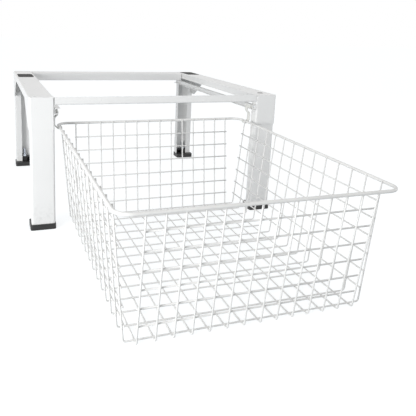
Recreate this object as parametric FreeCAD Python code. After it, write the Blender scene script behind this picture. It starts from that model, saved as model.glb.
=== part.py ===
"""Washer base: a powder-coated sheet-steel stand for a 600 mm washing machine, with a wire basket.

The stand is four open channel legs, two side rails that are pressed down over the legs as gusseted
sleeves, a slim front bar and a deeper rear bar, a pair of runners, and black feet with levelling
screws. The basket is bent and welded from wire. It hangs at the back of its rim from two nylon shoes
that slide in the runners, and tips nose-down as it is drawn out, until its front bottom edge is just
above the floor.

Units are millimetres. +X is to the right, +Y to the back and +Z up. Sizes are written from the
centre plane of the stand (x), its front face (y) and the floor (z). The last step moves every piece
back or forward by one amount, so that the origin is at the bottom centre of the whole part with its
basket drawn out.
"""
import FreeCAD, Part
import math
import os
from FreeCAD import Rotation, Vector

# Overall sizes of the stand
WIDTH = 600.0
DEPTH = 600.0
HEIGHT = 300.0
SHEET = 1.5
BEND = 2.5
CORNER_BEND = 5.0
SLIP = 0.1

# How far a cutter reaches past the piece it cuts, and how near two places are to be the same
CUT_PAST = 1.0
NEAR = 0.01

# Side rails and the sleeves at their ends
RAIL_WIDTH = 52.4
RAIL_FLANGE = 17.5
RAIL_BEND = 1.0
SLEEVE_DROP = 74.0
SLEEVE_WIDTH = 51.0
GUSSET_REACH = 130.0
GUSSET_FOOT = 43.0

# Legs
LEG_WIDTH = 54.0
LEG_DEPTH = 26.5
LEG_LIP = 17.0
LEG_LIP_DROP = 74.0

# Front and rear bars
FRONT_BAR_HEIGHT = 17.5
FRONT_BAR_FLANGE = 14.0
REAR_BAR_DEPTH = 50.0
REAR_BAR_FLANGE = 24.0
TAB_DEPTH = 19.0
TAB_HEIGHT = 16.0
TAB_HOLE = 10.5

# Feet and levelling screws
CAP_PROUD = 1.0
CAP_DEPTH = 44.0
CAP_HEIGHT = 13.0
CAP_GROOVE_FLOOR = 8.0
CAP_ROUND = 5.0
CAP_EASE = 0.2
BLOCK_RISE = 13.0
BLOCK_GAP = 1.2
BLOCK_WALL = 2.0
BOSS_WIDTH = 15.0
UNDERSIDE_DEPTH = 5.0
UNDERSIDE_WALL = 3.0
SCREW_RADIUS = 4.0
SCREW_EASE = 0.08
SCREW_TOP = 52.0
PAD_ACROSS = 18.0
PAD_THICKNESS = 4.5
NUT_ACROSS = 13.0
NUT_HEIGHT = 6.5

# Rubber pads let into the rails, level with their tops, each with a lip under the sheet
RUBBER_LENGTH = 90.0
RUBBER_MARGIN = 5.0
RUBBER_ROUND = 8.0
RUBBER_EASE = 0.3
RUBBER_LIP = 1.5
RUBBER_LIP_THICKNESS = 2.0
RUBBER_LEFT_BACK = 95.0
RUBBER_RIGHT_BACK = 10.0

# A small round plug let into the right rail in the same way, near the front
PLUG_RADIUS = 7.5
PLUG_BACK = 38.0

# Basket: the centre line of its rim, set from the stand's side, back, top and depth
RIM_WIRE = 6.0
RIM_ROUND = 25.0
RIM_FROM_SIDE = 67.0
RIM_BELOW_TOP = 71.0
RIM_BACK = 68.0
RIM_SHORTER = 8.0

# Basket: its wires, with the basket level
MESH_WIRE = 3.0
WELD = 0.05
BASKET_CLEARANCE = 9.5
SIDE_TAPER = 24.0
END_TAPER = 35.0
WIRE_BEND = 5.0
LONG_MARGIN = 42.3
CROSS_MARGIN = 43.05
WIRE_OVERRUN = 3.0
LONG_COUNT = 14
CROSS_COUNT = 14
LEVEL_COUNT = 6

# Thin round bars are drawn with a few flats, the width across them being the bar's diameter
MESH_FLAT_COUNT = 8
RIM_FLAT_COUNT = 12
MESH_CHORD_COUNT = 2
RIM_CHORD_COUNT = 5

# How far the basket tips when it is drawn out, in degrees
DROOP = 1.0

# Runners and the nylon shoes
RUNNER_SETBACK = 2.5
RUNNER_BELOW_TOP = 38.0
RUNNER_HEIGHT = 13.5
RUNNER_LOWER_FLANGE = 8.0
RUNNER_UPPER_FLANGE = 13.0
SHOE_LENGTH = 24.0
SHOE_EASE = 0.3
SHOE_PIVOT_BACK = 38.0
SHOE_GROOVE_EASE = 0.9
SHOE_PAST_RIM = 2.0
SHOE_WALL = 3.0

# Fasteners
BOLT_RADIUS = 2.5
BOLT_EASE = 0.1
BOLT_HEAD_RADIUS = 4.5
BOLT_HEAD_HEIGHT = 2.6
BOLT_END = 2.4
BOLT_EDGE = 11.0

# Sizes that follow from those above
SIDE = WIDTH / 2
LEG_INSIDE = SIDE - LEG_WIDTH
NEST = SHEET + SLIP
BAR_SPAN = 2 * (LEG_INSIDE - SLIP)
SLEEVE_Z = HEIGHT - SLEEVE_DROP
RAIL_LOWER_Z = HEIGHT - RAIL_FLANGE
LEG_TOP = HEIGHT - SHEET - SLIP
LEG_LIP_TOP = HEIGHT - LEG_LIP_DROP
WEB_MIDDLE = LEG_INSIDE - SLIP - SHEET / 2
RIM_SIDE = SIDE - RIM_FROM_SIDE
RIM_FRONT = RIM_BACK - (DEPTH - RIM_SHORTER)
RIM_HEIGHT = HEIGHT - RIM_BELOW_TOP
LONG_PITCH = 2 * (RIM_SIDE - LONG_MARGIN) / (LONG_COUNT - 1)
CROSS_PITCH = (RIM_BACK - RIM_FRONT - 2 * CROSS_MARGIN) / (CROSS_COUNT - 1)
LEVEL_PITCH = (RIM_HEIGHT - BASKET_CLEARANCE) / (LEVEL_COUNT + 1)
PIVOT_Y = RIM_BACK - SHOE_PIVOT_BACK
RUNNER_Z = HEIGHT - RUNNER_BELOW_TOP
RUNNER_OUTSIDE = WEB_MIDDLE + SHEET / 2
RUBBER_SEAT = HEIGHT - SHEET
SCREW_X = SIDE - LEG_WIDTH / 2
SCREW_Y = (NEST + LEG_DEPTH) / 2
BLOCK_TOP = CAP_HEIGHT + BLOCK_RISE
FRONT_REACH = (PIVOT_Y - RIM_FRONT) * math.cos(math.radians(DROOP)) + RIM_WIRE / 2 - PIVOT_Y
ORIGIN_Y = (DEPTH + CAP_PROUD - FRONT_REACH) / 2


def box(x0, y0, z0, x1, y1, z1):
    """A block between two corners."""
    return Part.makeBox(x1 - x0, y1 - y0, z1 - z0, Vector(x0, y0, z0))


def prism(points, thickness, axis):
    """A polygon of (a, b) points, thickened along one axis from zero."""
    lift = {"x": lambda a, b: Vector(0, a, b), "y": lambda a, b: Vector(a, 0, b),
            "z": lambda a, b: Vector(a, b, 0)}[axis]
    way = {"x": Vector(thickness, 0, 0), "y": Vector(0, thickness, 0), "z": Vector(0, 0, thickness)}[axis]
    corners = [lift(a, b) for a, b in points]
    return Part.Face(Part.makePolygon(corners + corners[:1])).extrude(way)


def rounded_path(points, radii):
    """Straight runs joined by tangent arcs, one radius for each inner point."""
    edges = []
    start = points[0]
    for before, corner, after, radius in zip(points, points[1:], points[2:], radii):
        back, ahead = (before - corner).normalize(), (after - corner).normalize()
        half = back.getAngle(ahead) / 2
        reach = radius / math.tan(half)
        into, out = corner + back * reach, corner + ahead * reach
        middle = corner + (back + ahead).normalize() * (radius / math.sin(half) - radius)
        edges.append(Part.LineSegment(start, into).toShape())
        edges.append(Part.Arc(into, middle, out).toShape())
        start = out
    edges.append(Part.LineSegment(start, points[-1]).toShape())
    return edges


def bent_sheet(points, thickness, bends, length):
    """A sheet bent along the middle line of points in the XY plane, and as long as length in Z."""
    line = [Vector(x, y, 0) for x, y in points]
    runs = [(b - a).normalize() for a, b in zip(line, line[1:])]
    sides = [Vector(-run.y, run.x, 0) for run in runs]
    outlines = []
    for hand in (1, -1):
        offset = hand * thickness / 2
        edge = [line[0] + sides[0] * offset]
        radii = []
        for corner, one, two, run, following, bend in zip(line[1:], sides, sides[1:], runs, runs[1:], bends):
            both = one + two
            edge.append(corner + both * (2 * offset / both.Length ** 2))
            turn = 1 if run.cross(following).z > 0 else -1
            radii.append(bend - turn * offset)
        edge.append(line[-1] + sides[-1] * offset)
        outlines.append((edge, radii))
    (left, left_radii), (right, right_radii) = outlines
    edges = rounded_path(left, left_radii)
    edges.append(Part.LineSegment(left[-1], right[-1]).toShape())
    edges += rounded_path(right[::-1], right_radii[::-1])
    edges.append(Part.LineSegment(right[0], left[0]).toShape())
    return Part.Face(Part.Wire(Part.__sortEdges__(edges))).extrude(Vector(0, 0, length))


def along_y(shape, y_end):
    """Turns a shape drawn in (x, z) and lengthened upwards, so that it runs forward from y_end."""
    turned = shape.copy()
    turned.rotate(Vector(0, 0, 0), Vector(1, 0, 0), 90)
    turned.translate(Vector(0, y_end, 0))
    return turned


def along_x(shape, x_start):
    """Turns a shape drawn in (y, z) and lengthened upwards, so that it runs right from x_start."""
    turned = shape.copy()
    turned.Placement = FreeCAD.Placement(Vector(x_start, 0, 0), Rotation(Vector(1, 1, 1), 120))
    return turned


def bar_section(centre, way, radius, flats):
    """The outline of a thin bar square to its way, with one flat level and one upright."""
    side = way.cross(Vector(0, 0, 1))
    if side.Length < 1e-6:
        side = Vector(1, 0, 0)
    side.normalize()
    up = side.cross(way).normalize()
    reach = radius / math.cos(math.pi / flats)
    turns = [(k + 0.5) * 2 * math.pi / flats for k in range(flats)]
    corners = [centre + side * (reach * math.cos(t)) + up * (reach * math.sin(t)) for t in turns]
    return Part.makePolygon(corners + corners[:1])


def rod(start, end, radius):
    """A straight thin bar between two points."""
    way = end - start
    return Part.Face(bar_section(start, way.normalize(), radius, MESH_FLAT_COUNT)).extrude(end - start)


def chord_path(points, bend, steps):
    """The corners of a path whose bends are a few equal chords of the same arc."""
    path = [points[0]]
    for before, corner, after in zip(points, points[1:], points[2:]):
        into, out = (corner - before).normalize(), (after - corner).normalize()
        turn = into.getAngle(out)
        start = corner - into * (bend * math.tan(turn / 2))
        centre = start + (out - into * into.dot(out)).normalize() * bend
        for k in range(steps + 1):
            spin = Rotation(into.cross(out), math.degrees(turn) * k / steps)
            path.append(centre + spin.multVec(start - centre))
    return path + [points[-1]]


def bent_wire(points, bend, diameter, flats, steps):
    """A wire along a bent path, open or closed, with mitred chords in its bends."""
    path = Part.makePolygon(chord_path(points, bend, steps))
    section = bar_section(points[0], (points[1] - points[0]).normalize(), diameter / 2, flats)
    return path.makePipeShell([section], True, False, 1)


def mirror_x(shape):
    """The right-hand copy of a left-hand piece."""
    return shape.mirror(Vector(0, 0, 0), Vector(1, 0, 0))


def mirror_y(shape):
    """The rear copy of a front piece."""
    return shape.mirror(Vector(0, DEPTH / 2, 0), Vector(0, 1, 0))


def corner_copies(name, front_left):
    """The same piece at the four corners, as {name_corner: shape}."""
    front_right = mirror_x(front_left)
    return {name + "_front_left": front_left, name + "_front_right": front_right,
            name + "_rear_left": mirror_y(front_left), name + "_rear_right": mirror_y(front_right)}


def rubber_block(distance_from_back, grow, low, high):
    """A rounded block at the place of the left rail's pad, grown all round, between two heights."""
    back = DEPTH - distance_from_back
    block = box(-SIDE + RUBBER_MARGIN - grow, back - RUBBER_LENGTH - grow, low,
                -SIDE + RAIL_WIDTH - RUBBER_MARGIN + grow, back + grow, high)
    upright = [edge for edge in block.Edges
               if edge.BoundBox.XLength < NEAR and edge.BoundBox.YLength < NEAR]
    return block.makeFillet(RUBBER_ROUND + grow, upright)


def side_rail(pad_from_back):
    """The left rail: a channel open below, with a gusseted sleeve pressed down at each end."""
    middle = SHEET / 2
    channel = bent_sheet([(-SIDE + middle, RAIL_LOWER_Z), (-SIDE + middle, HEIGHT - middle),
                          (-SIDE + RAIL_WIDTH - middle, HEIGHT - middle),
                          (-SIDE + RAIL_WIDTH - middle, RAIL_LOWER_Z)], SHEET, [RAIL_BEND] * 2, DEPTH)
    channel = along_y(channel, DEPTH)
    plan = box(-SIDE, 0, RAIL_LOWER_Z - CUT_PAST, -SIDE + RAIL_WIDTH, DEPTH, HEIGHT + CUT_PAST)
    outer_corners = [edge for edge in plan.Edges
                     if edge.Length > RAIL_FLANGE and abs(edge.CenterOfMass.x + SIDE) < NEAR
                     and edge.BoundBox.YLength < NEAR]
    channel = channel.common(plan.makeFillet(CORNER_BEND, outer_corners))
    relief = box(-SIDE + SLEEVE_WIDTH - SHEET, -CUT_PAST, RAIL_LOWER_Z - CUT_PAST, -SIDE + LEG_WIDTH,
                 NEST + CORNER_BEND, HEIGHT - SHEET)
    bolt = bolt_holes()[0]
    pad_hole = rubber_block(pad_from_back, RUBBER_EASE, RUBBER_SEAT - CUT_PAST, HEIGHT + CUT_PAST)
    channel = channel.cut([relief, mirror_y(relief), bolt, mirror_y(bolt), pad_hole])
    sleeve = bent_sheet([(-SIDE + SLEEVE_WIDTH, middle), (-SIDE + middle, middle),
                         (-SIDE + middle, GUSSET_REACH)], SHEET, [CORNER_BEND - middle],
                        SLEEVE_DROP - middle)
    sleeve.translate(Vector(0, 0, SLEEVE_Z))
    below = prism([(GUSSET_FOOT, SLEEVE_Z - CUT_PAST), (GUSSET_REACH + CUT_PAST, SLEEVE_Z - CUT_PAST),
                   (GUSSET_REACH + CUT_PAST, RAIL_LOWER_Z), (GUSSET_REACH, RAIL_LOWER_Z),
                   (GUSSET_FOOT, SLEEVE_Z)], LEG_WIDTH, "x")
    below.translate(Vector(-SIDE - CUT_PAST, 0, 0))
    sleeve = sleeve.cut(below)
    return channel.fuse([sleeve, mirror_y(sleeve)]).removeSplitter()


def leg_line():
    """The middle line of the front left leg in plan, from the inner wall round to the lip."""
    middle = SHEET / 2
    inner, outer = -LEG_INSIDE - middle, -SIDE + NEST + middle
    front, back = NEST + middle, LEG_DEPTH - middle
    return [(inner, LEG_DEPTH), (inner, front), (outer, front), (outer, back), (outer + LEG_LIP, back)]


def bolt_points():
    """Where the front left leg's inner wall is bolted: (y, z) for the bar and the runner."""
    bar = (NEST + TAB_HOLE, HEIGHT - FRONT_BAR_HEIGHT / 2)
    runner_end = (RUNNER_SETBACK + BOLT_EDGE, RUNNER_Z + RUNNER_HEIGHT / 2)
    return bar, runner_end


def bolt_holes():
    """Clearance holes for the bolts of the front left leg, as cutters, the bar's first."""
    reach = 3 * SHEET
    return [rod(Vector(-LEG_INSIDE - reach, y, z), Vector(-LEG_INSIDE + reach, y, z),
                BOLT_RADIUS + BOLT_EASE) for y, z in bolt_points()]


def leg():
    """The front left leg: an open channel with a lip along its outer wall."""
    channel = bent_sheet(leg_line(), SHEET, [CORNER_BEND - SHEET / 2] * 2 + [BEND],
                         LEG_TOP - CAP_GROOVE_FLOOR)
    channel.translate(Vector(0, 0, CAP_GROOVE_FLOOR))
    outer = -SIDE + NEST + SHEET
    lip_cut = prism([(outer, LEG_LIP_TOP), (outer + LEG_LIP, LEG_LIP_TOP + LEG_LIP),
                     (outer + LEG_LIP, LEG_TOP + CUT_PAST), (outer, LEG_TOP + CUT_PAST)], SHEET * 3, "y")
    lip_cut.translate(Vector(0, LEG_DEPTH - SHEET * 2, 0))
    return channel.cut([lip_cut] + bolt_holes())


def front_bar():
    """The slim front bar: an angle with a bolting tab turned back at each end."""
    middle = SHEET / 2
    bottom = HEIGHT - FRONT_BAR_HEIGHT
    angle = bent_sheet([(NEST + middle, HEIGHT), (NEST + middle, bottom + middle),
                        (NEST + FRONT_BAR_FLANGE, bottom + middle)], SHEET, [BEND], BAR_SPAN)
    angle = along_x(angle, -BAR_SPAN / 2)
    tab = box(-BAR_SPAN / 2, NEST, bottom, -BAR_SPAN / 2 + SHEET, NEST + TAB_DEPTH, bottom + TAB_HEIGHT)
    return angle.fuse([tab, mirror_x(tab)]).cut(bolt_holes() + [mirror_x(h) for h in bolt_holes()])


def rear_bar():
    """The rear bar: a channel open below, with a bolting tab at each end."""
    middle = SHEET / 2
    back, front = DEPTH - NEST - middle, DEPTH - NEST - REAR_BAR_DEPTH + middle
    bottom = HEIGHT - REAR_BAR_FLANGE
    channel = bent_sheet([(front, bottom), (front, HEIGHT - middle), (back, HEIGHT - middle),
                          (back, bottom)], SHEET, [BEND] * 2, BAR_SPAN)
    channel = along_x(channel, -BAR_SPAN / 2)
    tab = box(-BAR_SPAN / 2, front, bottom, -BAR_SPAN / 2 + SHEET, back, HEIGHT - SHEET)
    holes = [mirror_y(hole) for hole in bolt_holes()]
    return channel.fuse([tab, mirror_x(tab)]).cut(holes + [mirror_x(hole) for hole in holes])


def runner():
    """The left runner: a channel open towards the basket, riveted to the inner walls of two legs."""
    middle = SHEET / 2
    low, high = RUNNER_Z + middle, RUNNER_Z + RUNNER_HEIGHT - middle
    line = [(-RUNNER_OUTSIDE + RUNNER_LOWER_FLANGE, low), (-WEB_MIDDLE, low),
            (-WEB_MIDDLE, high), (-RUNNER_OUTSIDE + RUNNER_UPPER_FLANGE, high)]
    channel = bent_sheet(line, SHEET, [BEND - middle] * 2, DEPTH - 2 * RUNNER_SETBACK)
    channel = along_y(channel, DEPTH - RUNNER_SETBACK)
    return channel.cut(bolt_holes() + [mirror_y(hole) for hole in bolt_holes()])


def bolts():
    """The front left corner's fasteners: a bolt through rail, leg and bar, and a flush rivet."""
    flush = -WEB_MIDDLE + SHEET / 2
    spans = [(-SIDE + RAIL_WIDTH - SHEET, flush + BOLT_END), (-LEG_INSIDE - SHEET, flush)]
    pieces = []
    for (y, z), (seat, end) in zip(bolt_points(), spans):
        head = rod(Vector(seat - BOLT_HEAD_HEIGHT, y, z), Vector(seat, y, z), BOLT_HEAD_RADIUS)
        shank = rod(Vector(seat, y, z), Vector(end, y, z), BOLT_RADIUS)
        pieces.append(head.fuse(shank))
    return pieces


def foot_cap():
    """The black cap under the front left leg, with a ribbed block that fills the leg's end."""
    outside, inside = -SIDE - CAP_PROUD, -LEG_INSIDE + CAP_PROUD
    cap = box(outside, -CAP_PROUD, 0, inside, CAP_DEPTH, CAP_HEIGHT)
    upright = [edge for edge in cap.Edges if edge.BoundBox.ZLength > CAP_HEIGHT / 2]
    cap = cap.makeFillet(CAP_ROUND, upright)
    block = box(-SIDE + NEST + SHEET + BLOCK_GAP, NEST + SHEET + BLOCK_GAP, CAP_HEIGHT,
                -LEG_INSIDE - SHEET - BLOCK_GAP, LEG_DEPTH - SHEET - BLOCK_GAP, BLOCK_TOP)
    pocket = box(block.BoundBox.XMin + BLOCK_WALL, block.BoundBox.YMin + BLOCK_WALL, CAP_HEIGHT,
                 block.BoundBox.XMax - BLOCK_WALL, block.BoundBox.YMax + CUT_PAST, BLOCK_TOP - BLOCK_WALL)
    boss = box(-SCREW_X - BOSS_WIDTH / 2, SCREW_Y - BOSS_WIDTH / 2, CAP_HEIGHT,
               -SCREW_X + BOSS_WIDTH / 2, SCREW_Y + BOSS_WIDTH / 2, BLOCK_TOP)
    body = cap.fuse([block.cut(pocket), boss])
    line = leg_line()
    line[0] = (line[0][0], line[0][1] + CAP_EASE)
    line[-1] = (line[-1][0] + CAP_EASE, line[-1][1])
    groove = bent_sheet(line, SHEET + 2 * CAP_EASE, [CORNER_BEND - SHEET / 2] * 2 + [BEND], CAP_HEIGHT)
    groove.translate(Vector(0, 0, CAP_GROOVE_FLOOR))
    bore = Part.makeCylinder(SCREW_RADIUS + SCREW_EASE, BLOCK_TOP, Vector(-SCREW_X, SCREW_Y, 0))
    underside = box(outside + UNDERSIDE_WALL, UNDERSIDE_WALL - CAP_PROUD, 0,
                    inside - UNDERSIDE_WALL, CAP_DEPTH - UNDERSIDE_WALL, UNDERSIDE_DEPTH)
    return body.cut([groove, bore, underside])


def hexagon(across_flats, thickness):
    """A hexagonal block standing on the floor on the levelling screw's axis."""
    radius = across_flats / math.sqrt(3)
    corners = [(-SCREW_X + radius * math.cos(k * math.pi / 3), SCREW_Y + radius * math.sin(k * math.pi / 3))
               for k in range(6)]
    return prism(corners, thickness, "z")


def levelling_screw():
    """The front left levelling screw: a hexagonal pad that stands on the floor, and a plain stem."""
    pad = hexagon(PAD_ACROSS, PAD_THICKNESS)
    stem = Part.makeCylinder(SCREW_RADIUS, SCREW_TOP - PAD_THICKNESS,
                             Vector(-SCREW_X, SCREW_Y, PAD_THICKNESS))
    return pad.fuse(stem)


def nut():
    """The nut on top of the front left foot's block."""
    blank = hexagon(NUT_ACROSS, NUT_HEIGHT)
    blank.translate(Vector(0, 0, BLOCK_TOP))
    bore = Part.makeCylinder(SCREW_RADIUS + SCREW_EASE, NUT_HEIGHT, Vector(-SCREW_X, SCREW_Y, BLOCK_TOP))
    return blank.cut(bore)


def rubber_pad(from_back):
    """A black rubber pad let into the left rail from below, level with the rail's top."""
    lip = rubber_block(from_back, RUBBER_LIP, RUBBER_SEAT - RUBBER_LIP_THICKNESS, RUBBER_SEAT)
    return lip.fuse(rubber_block(from_back, 0, RUBBER_SEAT, HEIGHT))


def plug_disc(grow, low, high):
    """A disc at the place of the right rail's plug, grown all round, between two heights."""
    centre = Vector(SIDE - RAIL_WIDTH / 2, PLUG_BACK, low)
    return Part.makeCylinder(PLUG_RADIUS + grow, high - low, centre)


def rail_plug():
    """The small black plug let into the right rail from below, level with the rail's top."""
    lip = plug_disc(RUBBER_LIP, RUBBER_SEAT - RUBBER_LIP_THICKNESS, RUBBER_SEAT)
    return lip.fuse(plug_disc(0, RUBBER_SEAT, HEIGHT))


def shoe():
    """The left nylon shoe: a head in the runner, a stem, and a grip on the rim, open to the inside."""
    front, back = PIVOT_Y - SHOE_LENGTH / 2, PIVOT_Y + SHOE_LENGTH / 2
    half = RIM_WIRE / 2 + SHOE_GROOVE_EASE
    outside = -WEB_MIDDLE + SHEET / 2 + SHOE_EASE
    inside = -RUNNER_OUTSIDE + RUNNER_UPPER_FLANGE
    head_low, head_high = RUNNER_Z + SHEET + SHOE_EASE, RUNNER_Z + RUNNER_HEIGHT - SHEET - SHOE_EASE
    grip_low, grip_high = RIM_HEIGHT - half - SHOE_WALL, RIM_HEIGHT + half + SHOE_WALL
    head = box(outside, front, head_low, inside, back, head_high)
    stem = box(-RUNNER_OUTSIDE + RUNNER_LOWER_FLANGE + SHOE_EASE, front, grip_high, inside, back, head_low)
    grip = box(outside, front, grip_low, -RIM_SIDE + SHOE_PAST_RIM, back, grip_high)
    groove = rod(Vector(-RIM_SIDE, 0, RIM_HEIGHT), Vector(-RIM_SIDE, PIVOT_Y + SHOE_LENGTH, RIM_HEIGHT),
                 half)
    mouth = box(-RIM_SIDE, 0, RIM_HEIGHT - half, -RIM_SIDE + RIM_WIRE * 2,
                PIVOT_Y + SHOE_LENGTH, RIM_HEIGHT + half)
    return head.fuse([stem, grip]).removeSplitter().cut([groove, mouth])


def rim():
    """The rim of the basket: one closed loop of thick wire with rounded corners."""
    side, front, back, z = RIM_SIDE, RIM_FRONT, RIM_BACK, RIM_HEIGHT
    points = [Vector(0, front, z), Vector(side, front, z), Vector(side, back, z),
              Vector(-side, back, z), Vector(-side, front, z), Vector(0, front, z)]
    return bent_wire(points, RIM_ROUND, RIM_WIRE, RIM_FLAT_COUNT, RIM_CHORD_COUNT)


def wire_inset():
    """How far the centre line of a mesh wire lies inside the centre line of the rim."""
    return (RIM_WIRE + MESH_WIRE) / 2 + WELD


def long_wire_floor():
    """The height of the long wires' centre lines along the bottom, with the basket level."""
    return BASKET_CLEARANCE + MESH_WIRE / 2


def cross_wire_floor():
    """The height of the cross wires' centre lines, which lie on top of the long wires."""
    return long_wire_floor() + MESH_WIRE + WELD


def long_wires():
    """The wires that run down the front, along the bottom and up the back."""
    inset, top, bottom = wire_inset(), RIM_HEIGHT + MESH_WIRE / 2, long_wire_floor()
    wires = []
    for k in range(LONG_COUNT):
        x = (k - (LONG_COUNT - 1) / 2) * LONG_PITCH
        points = [Vector(x, RIM_FRONT + inset, top), Vector(x, RIM_FRONT + END_TAPER, bottom),
                  Vector(x, RIM_BACK - END_TAPER, bottom), Vector(x, RIM_BACK - inset, top)]
        wires.append(bent_wire(points, WIRE_BEND, MESH_WIRE, MESH_FLAT_COUNT, MESH_CHORD_COUNT))
    return wires


def cross_wires():
    """The wires that run down the left side, across the bottom and up the right side."""
    inset, top, bottom = wire_inset(), RIM_HEIGHT + MESH_WIRE / 2, cross_wire_floor()
    middle = (RIM_FRONT + RIM_BACK) / 2
    wires = []
    for k in range(CROSS_COUNT):
        y = middle + (k - (CROSS_COUNT - 1) / 2) * CROSS_PITCH
        points = [Vector(-RIM_SIDE + inset, y, top), Vector(-RIM_SIDE + SIDE_TAPER, y, bottom),
                  Vector(RIM_SIDE - SIDE_TAPER, y, bottom), Vector(RIM_SIDE - inset, y, top)]
        wires.append(bent_wire(points, WIRE_BEND, MESH_WIRE, MESH_FLAT_COUNT, MESH_CHORD_COUNT))
    return wires


def level_inset(z, taper, bottom):
    """How far inside the rim a level wire at height z lies, on a wall that leans in by taper."""
    top = RIM_HEIGHT + MESH_WIRE / 2
    lean = (taper - wire_inset()) / (top - bottom)
    slant = math.atan(lean)
    flat = math.pi / MESH_FLAT_COUNT
    corner = MESH_WIRE / 2 / math.cos(flat) * math.cos(flat - min(slant, flat))
    return wire_inset() + (top - z) * lean + (MESH_WIRE / 2 + WELD + corner) / math.cos(slant)


def level_wires(side):
    """The level wires inside one wall: 'front', 'back', 'left' or 'right'."""
    middle = (RIM_FRONT + RIM_BACK) / 2
    wires = []
    for k in range(1, LEVEL_COUNT + 1):
        z = RIM_HEIGHT - k * LEVEL_PITCH
        if side in ("left", "right"):
            reach = (CROSS_COUNT - 1) / 2 * CROSS_PITCH + WIRE_OVERRUN
            inset = level_inset(z, SIDE_TAPER, cross_wire_floor())
            x = RIM_SIDE - inset if side == "right" else inset - RIM_SIDE
            ends = Vector(x, middle - reach, z), Vector(x, middle + reach, z)
        else:
            reach = (LONG_COUNT - 1) / 2 * LONG_PITCH + WIRE_OVERRUN
            inset = level_inset(z, END_TAPER, long_wire_floor())
            y = RIM_FRONT + inset if side == "front" else RIM_BACK - inset
            ends = Vector(-reach, y, z), Vector(reach, y, z)
        wires.append(rod(*ends, MESH_WIRE / 2))
    return wires


def stand_pieces():
    """Every piece of the stand, by name."""
    plug_hole = plug_disc(RUBBER_EASE, RUBBER_SEAT - CUT_PAST, HEIGHT + CUT_PAST)
    pieces = {"side_rail_left": side_rail(RUBBER_LEFT_BACK),
              "side_rail_right": mirror_x(side_rail(RUBBER_RIGHT_BACK)).cut(plug_hole),
              "front_bar": front_bar(), "rear_bar": rear_bar(),
              "runner_left": runner(), "runner_right": mirror_x(runner()),
              "rubber_pad_left": rubber_pad(RUBBER_LEFT_BACK),
              "rubber_pad_right": mirror_x(rubber_pad(RUBBER_RIGHT_BACK)),
              "rail_plug_right": rail_plug()}
    pieces.update(corner_copies("leg", leg()))
    pieces.update(corner_copies("foot_cap", foot_cap()))
    pieces.update(corner_copies("levelling_screw", levelling_screw()))
    pieces.update(corner_copies("levelling_nut", nut()))
    pieces.update(corner_copies("corner_bolts", Part.Compound(bolts())))
    pieces["runner_shoe_left"] = shoe()
    pieces["runner_shoe_right"] = mirror_x(shoe())
    return pieces


def basket_pieces():
    """Every piece of the basket, by name, tipped nose-down about the shoes."""
    pieces = {"basket_rim": rim(),
              "basket_long_wires": Part.Compound(long_wires()),
              "basket_cross_wires": Part.Compound(cross_wires()),
              "basket_front_wires": Part.Compound(level_wires("front")),
              "basket_back_wires": Part.Compound(level_wires("back")),
              "basket_left_wires": Part.Compound(level_wires("left")),
              "basket_right_wires": Part.Compound(level_wires("right"))}
    for shape in pieces.values():
        shape.rotate(Vector(0, PIVOT_Y, RIM_HEIGHT), Vector(1, 0, 0), DROOP)
    return pieces


def main():
    """Builds every piece and writes one file for each."""
    os.makedirs("parts", exist_ok=True)
    pieces = {**stand_pieces(), **basket_pieces()}
    for name, shape in pieces.items():
        shape.translate(Vector(0, -ORIGIN_Y, 0))
        if not shape.isValid():
            raise RuntimeError(name + " is not a valid shape")
        shape.exportStep("parts/" + name + ".step")
    whole = Part.Compound(list(pieces.values())).BoundBox
    print("pieces", len(pieces), "box", [round(v, 3) for v in (whole.XMin, whole.YMin, whole.ZMin,
                                                               whole.XMax, whole.YMax, whole.ZMax)])
    print("pivot", round(PIVOT_Y - ORIGIN_Y, 4), RIM_HEIGHT, "origin shift", round(ORIGIN_Y, 4))


main()
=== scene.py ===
"""Looks of a washing machine stand with a pull-out wire basket.

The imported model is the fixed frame. Its folded sheet steel, foot caps and rubber keep their shapes and get
softened edges and finishes here. The wire basket, its hangers, the levelling screws, their nuts, the bolts
and the rivets are made anew as smooth surfaces, each in the place of its node.

Sizes are in millimetres in the stand's own directions: x from the middle to the right, y from the front
face back, z up from the floor. to_part turns them into metres in the part's frame.
"""
from __future__ import annotations

import logging
import math
from dataclasses import dataclass
from dataclasses import field
from enum import Enum
from typing import Callable

import bpy
import numpy as np
from mathutils import Matrix
from mathutils import Vector

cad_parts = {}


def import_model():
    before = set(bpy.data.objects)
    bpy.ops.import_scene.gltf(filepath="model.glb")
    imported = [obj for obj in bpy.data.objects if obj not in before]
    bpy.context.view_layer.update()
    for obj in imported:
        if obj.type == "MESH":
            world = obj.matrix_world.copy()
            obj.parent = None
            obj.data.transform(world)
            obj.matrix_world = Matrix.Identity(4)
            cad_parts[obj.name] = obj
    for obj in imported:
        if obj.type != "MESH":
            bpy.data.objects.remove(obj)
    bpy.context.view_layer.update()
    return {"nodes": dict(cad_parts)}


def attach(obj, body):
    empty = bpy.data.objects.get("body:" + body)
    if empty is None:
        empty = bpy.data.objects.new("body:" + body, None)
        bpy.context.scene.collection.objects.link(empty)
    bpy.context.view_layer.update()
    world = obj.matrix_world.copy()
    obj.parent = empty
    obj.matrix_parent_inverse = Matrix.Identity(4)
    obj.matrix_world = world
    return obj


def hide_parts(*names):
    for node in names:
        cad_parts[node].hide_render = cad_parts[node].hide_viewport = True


log = logging.getLogger("washer_base")

ORIGIN_Y = 37.0422
STAND_WIDTH = 600.0
STAND_DEPTH = 600.0
FULL_TURN = 2.0 * math.pi
UP = np.array([0.0, 0.0, 1.0])

BEAD_SIDES = 8
BEAD_RADIUS = 1.25
BEAD_HEIGHT = 0.62
BEAD_WAIST = 0.28

Pair = tuple[float, float]
Place = tuple[float, float, float]
Colour = tuple[float, float, float]
Socket = bpy.types.NodeSocket
SocketPair = tuple[Socket, Socket]


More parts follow.
